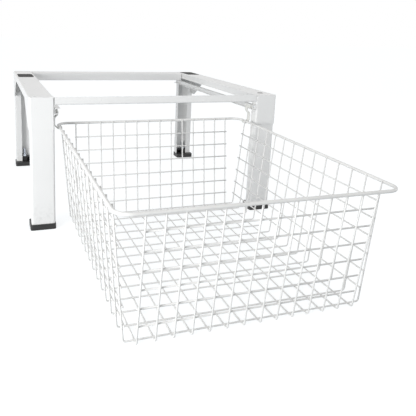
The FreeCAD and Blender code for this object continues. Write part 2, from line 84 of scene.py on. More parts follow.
class Slot(Enum):
    """The record's material slots."""

    POWDER_COAT = "white_powder_coat"
    COATED_WIRE = "white_coated_wire"
    PLASTIC = "black_plastic"
    RUBBER = "black_rubber"
    ZINC = "zinc_plated_steel"
    NYLON = "white_nylon"


class Corner(Enum):
    """The stand's four corners: the side across, -1 left or 1 right, and whether it is at the back."""

    FRONT_LEFT = ("front_left", -1, False)
    FRONT_RIGHT = ("front_right", 1, False)
    REAR_LEFT = ("rear_left", -1, True)
    REAR_RIGHT = ("rear_right", 1, True)

    @property
    def label(self) -> str:
        """The corner's name as the nodes have it."""
        return self.value[0]

    @property
    def side(self) -> int:
        """-1 on the left, 1 on the right."""
        return self.value[1]

    @property
    def rear(self) -> bool:
        """True at the back."""
        return self.value[2]

    def inward(self, distance: float) -> float:
        """The y that lies a distance in from the corner's own end of the stand."""
        return STAND_DEPTH - distance if self.rear else distance


class Wall(Enum):
    """The basket's four walls, each with its outward direction in x and y."""

    FRONT = (0.0, -1.0)
    BACK = (0.0, 1.0)
    LEFT = (-1.0, 0.0)
    RIGHT = (1.0, 0.0)


# Surfaces worked out on grids


@dataclass
class Surface:
    """A mesh as whole arrays.

    Attributes:
        vertices: Points, one row each, in stand millimetres.
        quads: Rows of four vertex numbers, turning so that the face points outwards.
        triangles: Rows of three vertex numbers.
    """

    vertices: np.ndarray
    quads: np.ndarray = field(default_factory=lambda: np.empty((0, 4), dtype=int))
    triangles: np.ndarray = field(default_factory=lambda: np.empty((0, 3), dtype=int))

    def mapped(self, change: Callable[[np.ndarray], np.ndarray]) -> "Surface":
        """The same faces with the vertices changed by a function of the array."""
        return Surface(change(self.vertices), self.quads, self.triangles)


def joined(parts: list[Surface]) -> Surface:
    """All the surfaces as one, each with its vertex numbers moved past those before it."""
    starts = np.cumsum([0] + [len(part.vertices) for part in parts[:-1]])
    return Surface(
        np.concatenate([part.vertices for part in parts]),
        np.concatenate([part.quads + start for part, start in zip(parts, starts)]),
        np.concatenate([part.triangles + start for part, start in zip(parts, starts)]),
    )


def grid_faces(rows: int, columns: int, loop_rows: bool) -> np.ndarray:
    """Faces between neighbouring rows and columns of a grid whose columns close into rings.

    Args:
        rows: Rings in the grid.
        columns: Points in each ring.
        loop_rows: True joins the last ring to the first.

    Returns:
        Rows of four vertex numbers.
    """
    first = np.arange(rows if loop_rows else rows - 1)[:, None]
    column = np.arange(columns)[None, :]
    following = (first + 1) % rows
    beside = (column + 1) % columns
    corners = (
        first * columns + column,
        first * columns + beside,
        following * columns + beside,
        following * columns + column,
    )
    return np.stack([np.broadcast_to(c, (len(first), columns)) for c in corners], axis=-1).reshape(-1, 4)


def end_fans(rows: int, columns: int) -> np.ndarray:
    """Triangles that close a grid's first and last rings to two tips, numbered after the grid's points."""
    count = rows * columns
    last = count - columns
    column = np.arange(columns)
    beside = (column + 1) % columns
    first_fan = np.stack([np.full(columns, count), beside, column], axis=-1)
    last_fan = np.stack([np.full(columns, count + 1), last + column, last + beside], axis=-1)
    return np.concatenate([first_fan, last_fan])


def skin(rings: np.ndarray, tips: np.ndarray | None = None) -> Surface:
    """The surface over a grid of points whose rows are rings.

    Args:
        rings: The grid, with x, y and z of each point.
        tips: Two points that the first and last rings close to. Without them the last ring joins the first.

    Returns:
        The surface, pointing outwards.
    """
    rows, columns = rings.shape[:2]
    points = rings.reshape(-1, 3)
    if tips is None:
        return Surface(points, grid_faces(rows, columns, True))
    return Surface(np.concatenate([points, tips]), grid_faces(rows, columns, False), end_fans(rows, columns))


def revolved(radius: np.ndarray, height: np.ndarray, hollow: bool = False) -> Surface:
    """A body round an upright axis through the origin.

    Point (i, j) is at angle a = 2 pi j / n and is (R cos a, R sin a, H), with R and H the values of the two
    grids there. The first and last rings close to a pole at their middle.

    Args:
        radius: Grid of radii, one row for each ring.
        height: Grid of heights of the same shape.
        hollow: True leaves a hole along the axis and joins the last ring to the first.

    Returns:
        The body, pointing outwards.
    """
    columns = radius.shape[1]
    angle = FULL_TURN * np.arange(columns) / columns
    rings = np.stack([radius * np.cos(angle), radius * np.sin(angle), height], axis=-1)
    if hollow:
        return skin(rings)
    return skin(rings, np.array([[0.0, 0.0, height[0].mean()], [0.0, 0.0, height[-1].mean()]]))


@dataclass
class Line:
    """A line that a wire's round section follows.

    Attributes:
        points: The line's points.
        along: The line's direction at each point.
        upright: A direction at right angles to the whole line's plane.
    """

    points: np.ndarray
    along: np.ndarray
    upright: np.ndarray


def unit(rows: np.ndarray) -> np.ndarray:
    """Each row divided by its length."""
    return rows / np.linalg.norm(rows, axis=-1, keepdims=True)


def repeated_ends(rows: np.ndarray, times: int) -> np.ndarray:
    """The rows with the first and the last one repeated."""
    head = np.repeat(rows[:1], times, axis=0)
    tail = np.repeat(rows[-1:], times, axis=0)
    return np.concatenate([head, rows[1:-1], tail])


def bent_line(corners: np.ndarray, bend: float, steps: int, upright: np.ndarray, closed: bool) -> Line:
    """Straight runs between corners, with an arc of the wire's middle line in each corner.

    With u and v the directions into and out of a corner and t the turn between them, the arc starts
    bend tan(t / 2) before the corner, and its point at angle a is start + bend (sin a u + (1 - cos a) n),
    where n is v less its part along u, made a unit.

    Args:
        corners: The corners, one row each.
        bend: Radius of the middle line in a corner.
        steps: Pieces in each arc.
        upright: A direction at right angles to the line's plane.
        closed: True for a loop, in which every corner is bent.

    Returns:
        The line.
    """
    before = np.roll(corners, 1, axis=0)
    after = np.roll(corners, -1, axis=0)
    inner = slice(None) if closed else slice(1, -1)
    u = unit(corners - before)[inner]
    v = unit(after - corners)[inner]
    turn = np.arccos(np.clip((u * v).sum(axis=1), -1.0, 1.0))
    n = unit(v - (u * v).sum(axis=1, keepdims=True) * u)
    start = corners[inner] - u * (bend * np.tan(turn / 2.0))[:, None]
    a = turn[:, None] * np.linspace(0.0, 1.0, steps + 1)[None, :]
    sine = np.sin(a)[..., None]
    cosine = np.cos(a)[..., None]
    arc = start[:, None] + bend * (sine * u[:, None] + (1.0 - cosine) * n[:, None])
    heading = cosine * u[:, None] + sine * n[:, None]
    points = arc.reshape(-1, 3)
    along = heading.reshape(-1, 3)
    if not closed:
        points = np.concatenate([corners[:1], points, corners[-1:]])
        along = np.concatenate([u[:1], along, v[-1:]])
    return Line(points, along, upright)


def wire(line: Line, radius: float, sides: int, closed: bool) -> Surface:
    """A round wire along a line.

    Point (i, j) is P_i + r (cos a_j B + sin a_j T_i x B), with P and T the line's points and directions, B
    its upright and a_j = 2 pi j / n. An open end is domed: over the last quarter of the radius the section
    shrinks as r cos b while the line goes on by (r / 4) sin b, b from 0 to a right angle.

    Args:
        line: The line.
        radius: The wire's radius.
        sides: Points round the wire.
        closed: True for a loop.

    Returns:
        The wire, pointing outwards.
    """
    points = line.points
    along = line.along
    size = np.full(len(points), radius)
    if not closed:
        dome = radius / 4.0
        b = np.radians([30.0, 60.0])
        first = points[0] + along[0] * dome
        last = points[-1] - along[-1] * dome
        head = first - along[0] * (dome * np.sin(b[::-1]))[:, None]
        tail = last + along[-1] * (dome * np.sin(b))[:, None]
        points = np.concatenate([head, first[None], points[1:-1], last[None], tail])
        along = repeated_ends(along, len(b) + 1)
        size = np.concatenate([radius * np.cos(b[::-1]), size, radius * np.cos(b)])
    angle = FULL_TURN * np.arange(sides) / sides
    across = np.cross(along, line.upright)
    ring = (
        np.cos(angle)[None, :, None] * line.upright[None, None, :]
        + np.sin(angle)[None, :, None] * across[:, None, :]
    )
    rings = points[:, None, :] + size[:, None, None] * ring
    return skin(rings, None if closed else line.points[[0, -1]])


def strip(line: Line, half_wide: float, half_thick: float, round_edge: float) -> Surface:
    """A flat strip along a line, its long edges and both ends rounded.

    The section is a rectangle with quarter circles of radius r at its corners, x along the line's upright
    and y along T x B, with T and B the line's direction and upright. At an end, b going from 0 to a right
    angle, the section is r (1 - cos b) smaller all round and stands r (1 - sin b) back from the end.

    Args:
        line: The strip's middle line.
        half_wide: Half its width, along the line's upright.
        half_thick: Half its thickness.
        round_edge: The radius r.

    Returns:
        The strip, pointing outwards.
    """
    b = np.radians([90.0, 60.0, 30.0, 0.0])
    back = round_edge * (1.0 - np.sin(b))
    less = round_edge * (1.0 - np.cos(b))
    head = line.points[0] + line.along[0] * back[:, None]
    tail = line.points[-1] - line.along[-1] * back[::-1, None]
    points = np.concatenate([head, line.points[1:-1], tail])
    along = repeated_ends(line.along, len(b))
    smaller = np.concatenate([less, np.zeros(len(line.points) - 2), less[::-1]])
    quarter = np.linspace(0.0, math.pi / 2.0, 4)
    angle = (np.arange(4)[:, None] * math.pi / 2.0 + quarter).ravel()
    wide = np.repeat([1.0, -1.0, -1.0, 1.0], 4) * (half_wide - round_edge) + round_edge * np.cos(angle)
    thick = np.repeat([1.0, 1.0, -1.0, -1.0], 4) * (half_thick - round_edge) + round_edge * np.sin(angle)
    wide = wide * (1.0 - smaller[:, None] / half_wide)
    thick = thick * (1.0 - smaller[:, None] / half_thick)
    across = np.cross(along, line.upright)
    rings = points[:, None] + wide[..., None] * line.upright + thick[..., None] * across[:, None]
    return skin(rings, points[[0, -1]])


def straight_line(start: np.ndarray, end: np.ndarray, upright: np.ndarray) -> Line:
    """A line of one run between two points."""
    points = np.stack([start, end])
    along = np.repeat(unit(points[1:] - points[:1]), 2, axis=0)
    return Line(points, along, upright)


def weld_beads(centres: np.ndarray, along: np.ndarray, across: np.ndarray) -> Surface:
    """The small necks of metal and coating where wires cross, all from one waisted drum.

    The drum's radius at the share h from -1 to 1 of its half height is R (1 - W + W h h), so that it flares
    into both wires. Point (k, i, j) is C_k + R(h_i) (cos a_j A_k + sin a_j B_k) + height h_i A_k x B_k.

    Args:
        centres: Middles of the crossings.
        along: Direction of one wire at each crossing.
        across: Direction of the other wire at each crossing.

    Returns:
        All the beads, pointing outwards.
    """
    share = np.array([-1.0, 0.0, 1.0])
    angle = FULL_TURN * np.arange(BEAD_SIDES) / BEAD_SIDES
    drum_radius = BEAD_RADIUS * (1.0 - BEAD_WAIST + BEAD_WAIST * share * share)
    circle = (
        np.cos(angle)[None, None, :, None] * along[:, None, None, :]
        + np.sin(angle)[None, None, :, None] * across[:, None, None, :]
    )
    out = np.cross(along, across)
    points = (
        centres[:, None, None, :]
        + drum_radius[None, :, None, None] * circle
        + (BEAD_HEIGHT * share)[None, :, None, None] * out[:, None, None, :]
    )
    ends = centres[:, None, :] + np.array([-BEAD_HEIGHT, BEAD_HEIGHT])[None, :, None] * out[:, None, :]
    vertices = np.concatenate([points.reshape(len(centres), -1, 3), ends], axis=1)
    first = (np.arange(len(centres)) * vertices.shape[1])[:, None, None]
    quads = (grid_faces(len(share), BEAD_SIDES, False)[None] + first).reshape(-1, 4)
    triangles = (end_fans(len(share), BEAD_SIDES)[None] + first).reshape(-1, 3)
    return Surface(vertices.reshape(-1, 3), quads, triangles)


def to_part(points: np.ndarray) -> np.ndarray:
    """Stand millimetres to metres in the part's frame: (x, y - ORIGIN_Y, z) / 1000."""
    return (points - np.array([0.0, ORIGIN_Y, 0.0])) / 1000.0


@dataclass(frozen=True)
class Dresser:
    """Puts surfaces into the scene as finished pieces.

    Attributes:
        materials: The finish of each slot.
    """

    materials: dict[Slot, bpy.types.Material]

    def add(self, name: str, surface: Surface, slot: Slot, sharp: float, body: str, nodes: list[str]) -> None:
        """Makes a piece at the origin, hangs it on its body and hides the nodes that it stands for.

        Args:
            name: The piece's name.
            surface: Its mesh, in stand millimetres.
            slot: The slot that its finish comes from.
            sharp: Edges that turn by more than this many degrees stay sharp.
            body: The body that it rides on.
            nodes: The nodes it replaces.
        """
        mesh = bpy.data.meshes.new(name)
        faces = surface.quads.tolist() + surface.triangles.tolist()
        mesh.from_pydata(to_part(surface.vertices).tolist(), [], faces)
        mesh.validate()
        mesh.shade_smooth()
        mesh.set_sharp_from_angle(angle=math.radians(sharp))
        mesh.materials.append(self.materials[slot])
        piece = bpy.data.objects.new(name, mesh)
        bpy.context.scene.collection.objects.link(piece)
        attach(piece, body)
        if nodes:
            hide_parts(*nodes)
        log.info("%s: %d faces on %s", name, len(mesh.polygons), body)


# Shader groups


class Graph:
    """A node tree with short calls for adding and joining nodes."""

    def __init__(self, tree: bpy.types.NodeTree) -> None:
        """Keeps the tree."""
        self.tree = tree

    def add(self, kind: str, values: dict[str, object] | None = None, **settings: object) -> bpy.types.Node:
        """Adds a node.

        Args:
            kind: The node's type.
            values: Values for its input sockets, by name or number.
            **settings: Values for the node's own settings.

        Returns:
            The node.
        """
        node = self.tree.nodes.new(kind)
        for key, value in settings.items():
            setattr(node, key, value)
        for key, value in (values or {}).items():
            node.inputs[key].default_value = value
        return node

    def join(self, start: Socket, end: Socket) -> None:
        """Joins an output to an input."""
        self.tree.links.new(start, end)

    def feed(self, value: object, socket: Socket) -> None:
        """Gives an input a value, which is another node's output or a number or colour."""
        if isinstance(value, Socket):
            self.join(value, socket)
        else:
            socket.default_value = value

    def math(self, operation: str, first: object, second: object = 0.5, clamp: bool = False) -> Socket:
        """Adds a Math node on two sockets or numbers and returns its output."""
        node = self.add("ShaderNodeMath", operation=operation, use_clamp=clamp)
        self.feed(first, node.inputs[0])
        self.feed(second, node.inputs[1])
        return node.outputs[0]

    def span(self, value: Socket, source: Pair, target: Pair = (0.0, 1.0)) -> Socket:
        """Maps a value from one span of numbers to another, held within it."""
        node = self.add("ShaderNodeMapRange", dict(enumerate((*source, *target), start=1)), clamp=True)
        self.join(value, node.inputs[0])
        return node.outputs[0]

    def noise(self, place: Socket, scale: object, detail: float, rough: float = 0.5) -> Socket:
        """Adds a noise texture and returns its value."""
        node = self.add("ShaderNodeTexNoise", {"Detail": detail, "Roughness": rough})
        self.join(place, node.inputs["Vector"])
        self.feed(scale, node.inputs["Scale"])
        return node.outputs[0]


def new_group(
    name: str, inputs: dict[str, float], outputs: tuple[str, ...]
) -> tuple[Graph, bpy.types.NodeOutputs, bpy.types.NodeInputs]:
    """Starts a shader node group.

    Args:
        name: The group's name.
        inputs: Number inputs and their usual values, which follow the first input, the place.
        outputs: Names of the number outputs.

    Returns:
        The group's graph, the sockets that it starts from and the sockets that it ends in, by name.
    """
    tree = bpy.data.node_groups.new(name, "ShaderNodeTree")
    tree.interface.new_socket("Place", in_out="INPUT", socket_type="NodeSocketVector")
    for label, value in inputs.items():
        socket = tree.interface.new_socket(label, in_out="INPUT", socket_type="NodeSocketFloat")
        socket.default_value = value
    for label in outputs:
        tree.interface.new_socket(label, in_out="OUTPUT", socket_type="NodeSocketFloat")
    graph = Graph(tree)
    return graph, graph.add("NodeGroupInput").outputs, graph.add("NodeGroupOutput").inputs


def film_group() -> bpy.types.NodeTree:
    """The height of a sprayed or dipped film: fine orange peel with broader runs under it."""
    values = {"Peel": 900.0, "Runs": 60.0, "Runs share": 0.5}
    graph, start, end = new_group("film_height", values, ("Height",))
    peel = graph.noise(start["Place"], start["Peel"], 2.0, 0.55)
    runs = graph.noise(start["Place"], start["Runs"], 1.0)
    graph.join(graph.math("ADD", peel, graph.math("MULTIPLY", runs, start["Runs share"])), end["Height"])
    return graph.tree


def clouding_group() -> bpy.types.NodeTree:
    """A slow change of tone and of gloss over a surface, from 0 to 1 each."""
    graph, start, end = new_group("clouding", {"Tone scale": 9.0, "Gloss scale": 34.0}, ("Tone", "Gloss"))
    tone = graph.noise(start["Place"], start["Tone scale"], 3.0, 0.6)
    gloss = graph.noise(start["Place"], start["Gloss scale"], 4.0, 0.6)
    graph.join(graph.span(tone, (0.3, 0.7)), end["Tone"])
    graph.join(graph.span(gloss, (0.32, 0.68)), end["Gloss"])
    return graph.tree


def handling_group() -> bpy.types.NodeTree:
    """Traces of use: rubbed marks near the floor and a few thin scratches, as masks from 0 to 1."""
    graph, start, end = new_group(
        "handling", {"Low mark": 0.035, "Fade": 0.03, "Scratch scale": 46.0}, ("Rub", "Scratch")
    )
    split = graph.add("ShaderNodeSeparateXYZ")
    graph.join(start["Place"], split.inputs[0])
    above = graph.math("SUBTRACT", split.outputs["Z"], start["Low mark"])
    low = graph.math("SUBTRACT", 1.0, graph.math("DIVIDE", above, start["Fade"], clamp=True), clamp=True)
    patches = graph.span(graph.noise(start["Place"], 120.0, 5.0, 0.65), (0.45, 0.75))
    graph.join(graph.math("MULTIPLY", low, patches), end["Rub"])
    stretch = graph.add("ShaderNodeMapping", {"Rotation": (0.4, 0.9, 0.3), "Scale": (1.0, 0.06, 1.0)})
    graph.join(start["Place"], stretch.inputs["Vector"])
    lines = graph.noise(stretch.outputs[0], start["Scratch scale"], 6.0, 0.7)
    hair = graph.span(graph.math("ABSOLUTE", graph.math("SUBTRACT", lines, 0.5)), (0.0, 0.0016), (1.0, 0.0))
    seldom = graph.span(graph.noise(start["Place"], 14.0, 1.0), (0.6, 0.68))
    graph.join(graph.math("MULTIPLY", hair, seldom), end["Scratch"])
    return graph.tree


def grain_group() -> bpy.types.NodeTree:
    """The height of a moulded grain: small even cells with fine dust on them."""
    graph, start, end = new_group("moulded_grain", {"Cells": 1500.0, "Dust": 4200.0}, ("Height",))
    cells = graph.add("ShaderNodeTexVoronoi", feature="SMOOTH_F1")
    graph.join(start["Place"], cells.inputs["Vector"])
    graph.join(start["Cells"], cells.inputs["Scale"])
    dust = graph.math("MULTIPLY", graph.noise(start["Place"], start["Dust"], 2.0), 0.4)
    graph.join(graph.math("ADD", cells.outputs["Distance"], dust), end["Height"])
    return graph.tree


@dataclass
class Groups:
    """The shader groups, each made once and placed in the materials with their own values.

    Attributes:
        film: The height of a sprayed or dipped film.
        clouding: Slow changes of tone and of gloss.
        handling: Rubbed marks and scratches.
        grain: The height of a moulded grain.
    """

    film: bpy.types.NodeTree = field(default_factory=film_group)
    clouding: bpy.types.NodeTree = field(default_factory=clouding_group)
    handling: bpy.types.NodeTree = field(default_factory=handling_group)
    grain: bpy.types.NodeTree = field(default_factory=grain_group)


class MaterialGraph(Graph):
    """A material's node tree with its Principled shader and Object coordinates."""

    def __init__(self, name: str) -> None:
        """Makes the material and finds its shader."""
        self.material = bpy.data.materials.new(name)
        self.material.use_nodes = True
        super().__init__(self.material.node_tree)
        self.shader = self.tree.nodes["Principled BSDF"]
        self.place = self.add("ShaderNodeTexCoord").outputs["Object"]

    def group(self, tree: bpy.types.NodeTree, values: dict[str, float]) -> bpy.types.NodeOutputs:
        """Places a shader group on the Object coordinates with values for its inputs; returns its outputs."""
        node = self.add("ShaderNodeGroup", node_tree=tree)
        self.join(self.place, node.inputs["Place"])
        for key, value in values.items():
            node.inputs[key].default_value = value
        return node.outputs

    def mix(self, factor: Socket, first: object, second: object) -> Socket:
        """Mixes two colours, each a socket or a plain colour, by a varying factor."""
        node = self.add("ShaderNodeMix", data_type="RGBA")
        self.join(factor, node.inputs["Factor"])
        for socket, value in zip(node.inputs[6:8], (first, second)):
            self.feed(value if isinstance(value, Socket) else (*value, 1.0), socket)
        return node.outputs[2]

    def bump(self, height: Socket, distance: float, strength: float) -> None:
        """Feeds a height in metres times distance to the shader's normal."""
        node = self.add("ShaderNodeBump", {"Strength": strength, "Distance": distance})
        self.join(height, node.inputs["Height"])
        self.join(node.outputs[0], self.shader.inputs["Normal"])


# Finishes


@dataclass(frozen=True)
class Finish:
    """A finish that clouds slowly between two colours and two degrees of gloss, over a fine relief.

    Attributes:
        slot: The slot that it is for.
        colour: Its colour.
        other: Its second colour, where the coat is thicker, thinner or dusty.
        clouds: How fine the clouds of tone and of gloss are.
        rough: Roughness where it is glossiest and where it is dullest.
        relief: The relief's height in metres, and its strength.
        steady: The shader's values that are the same all over.
        film: Fineness of a film's peel and of its runs, and the runs' share. None gives a moulded grain.
        tone_share: How much of the second colour comes through.
    """

    slot: Slot
    colour: Colour
    other: Colour
    clouds: Pair
    rough: Pair
    relief: Pair
    steady: dict[str, float]
    film: tuple[float, float, float] | None = None
    tone_share: float = 1.0

    def worn(self, graph: MaterialGraph, groups: Groups, colour: Socket, rough: Socket) -> SocketPair:
        """The colour and the roughness with traces of use, of which a plain finish has none."""
        return colour, rough

    def height(self, graph: MaterialGraph, groups: Groups) -> Socket:
        """The relief: a film's peel and runs, or a moulded grain."""
        if self.film is None:
            return graph.group(groups.grain, {})["Height"]
        return graph.group(groups.film, dict(zip(("Peel", "Runs", "Runs share"), self.film)))["Height"]

    def make(self, groups: Groups) -> bpy.types.Material:
        """Builds the material."""
        graph = MaterialGraph(self.slot.value + "_look")
        cloud = graph.group(groups.clouding, dict(zip(("Tone scale", "Gloss scale"), self.clouds)))
        tone = cloud["Tone"]
        if self.tone_share < 1.0:
            tone = graph.math("MULTIPLY", tone, self.tone_share)
        colour = graph.mix(tone, self.colour, self.other)
        rough = graph.span(cloud["Gloss"], (0.0, 1.0), self.rough)
        colour, rough = self.worn(graph, groups, colour, rough)
        graph.join(colour, graph.shader.inputs["Base Color"])
        graph.join(rough, graph.shader.inputs["Roughness"])
        graph.bump(self.height(graph, groups), *self.relief)
        for key, value in self.steady.items():
            graph.shader.inputs[key].default_value = value
        return graph.material


@dataclass(frozen=True)
class PowderCoat(Finish):
    """Powder coat that is rubbed near the floor and lightly scratched.

    Attributes:
        rubbed: The grey of rubbed marks.
        scratched: The colour down in a scratch.
        low_mark: Height in metres up to which it is rubbed.
        fade: Height over which the rubbing ends.
        rub_share: How much of the grey comes through.
        rub_rough: How much rougher a rubbed place is.
        scratch_share: How much of a scratch's colour comes through.
    """

    rubbed: Colour = (0.60, 0.60, 0.59)
    scratched: Colour = (0.66, 0.66, 0.66)
    low_mark: float = 0.03
    fade: float = 0.035
    rub_share: float = 0.45
    rub_rough: float = 0.25
    scratch_share: float = 0.25

    def worn(self, graph: MaterialGraph, groups: Groups, colour: Socket, rough: Socket) -> SocketPair:
        """The colour and the roughness with rubbed marks and scratches laid over them."""
        marks = graph.group(groups.handling, {"Low mark": self.low_mark, "Fade": self.fade})
        rubbed = graph.math("MULTIPLY", marks["Rub"], self.rub_share)
        scratched = graph.math("MULTIPLY", marks["Scratch"], self.scratch_share)
        colour = graph.mix(scratched, graph.mix(rubbed, colour, self.rubbed), self.scratched)
        return colour, graph.math("ADD", rough, graph.math("MULTIPLY", marks["Rub"], self.rub_rough))


@dataclass(frozen=True)
class RibbedRubber(Finish):
    """Rubber with ribs across the stand.

    Attributes:
        rib: Distance from rib to rib in metres.
        rib_cut: The wave's values at which a rib starts and is full.
        cells: Fineness of the grain on it.
        grain_share: The grain's height as a share of a rib's.
    """

    rib: float = 0.004
    rib_cut: Pair = (-0.55, 0.35)
    cells: float = 2200.0
    grain_share: float = 0.12

    def height(self, graph: MaterialGraph, groups: Groups) -> Socket:
        """The relief: a sine along the stand's length, cut off at top and bottom, with a grain on it."""
        split = graph.add("ShaderNodeSeparateXYZ")
        graph.join(graph.place, split.inputs[0])
        wave = graph.math("SINE", graph.math("MULTIPLY", split.outputs["Y"], FULL_TURN / self.rib))
        grain = graph.group(groups.grain, {"Cells": self.cells})["Height"]
        ribs = graph.span(wave, self.rib_cut)
        return graph.math("ADD", ribs, graph.math("MULTIPLY", grain, self.grain_share))


FINISHES: tuple[Finish, ...] = (
    PowderCoat(
        slot=Slot.POWDER_COAT, colour=(0.868, 0.868, 0.862), other=(0.846, 0.848, 0.844), clouds=(7.0, 30.0),
        rough=(0.27, 0.36), relief=(0.00006, 0.55), film=(820.0, 70.0, 0.8),
        steady={"IOR": 1.5, "Coat Weight": 0.2, "Coat Roughness": 0.12},
    ),
    Finish(
        slot=Slot.COATED_WIRE, colour=(0.835, 0.832, 0.82), other=(0.775, 0.772, 0.762), clouds=(26.0, 90.0),
        rough=(0.30, 0.42), relief=(0.00009, 0.6), film=(1300.0, 170.0, 1.4),
        steady={"IOR": 1.48, "Coat Weight": 0.15, "Coat Roughness": 0.2},
    ),
    Finish(
        slot=Slot.PLASTIC, colour=(0.014, 0.014, 0.015), other=(0.032, 0.031, 0.030), clouds=(40.0, 85.0),
        rough=(0.38, 0.52), relief=(0.00008, 0.5), tone_share=0.6, steady={"IOR": 1.49},
    ),
    RibbedRubber(
        slot=Slot.RUBBER, colour=(0.018, 0.018, 0.019), other=(0.05, 0.049, 0.047), clouds=(60.0, 120.0),
        rough=(0.66, 0.84), relief=(0.0006, 0.9), steady={"IOR": 1.45},
    ),
    Finish(
        slot=Slot.ZINC, colour=(0.66, 0.67, 0.69), other=(0.60, 0.64, 0.70), clouds=(150.0, 320.0),
        rough=(0.24, 0.42), relief=(0.00002, 0.5), film=(2400.0, 400.0, 0.6), steady={"Metallic": 1.0},
    ),
    Finish(
        slot=Slot.NYLON, colour=(0.80, 0.80, 0.775), other=(0.74, 0.735, 0.70), clouds=(40.0, 85.0),
        rough=(0.36, 0.5), relief=(0.00008, 0.5), tone_share=0.6, steady={"IOR": 1.49},
    ),
)


def make_finishes() -> dict[Slot, bpy.types.Material]:
    """Builds the shader groups and a material for each slot."""
    groups = Groups()
    made = {finish.slot: finish.make(groups) for finish in FINISHES}
    for slot, material in made.items():
        log.info("finish %s: %d nodes", slot.value, len(material.node_tree.nodes))
    return made


# The sub-assemblies


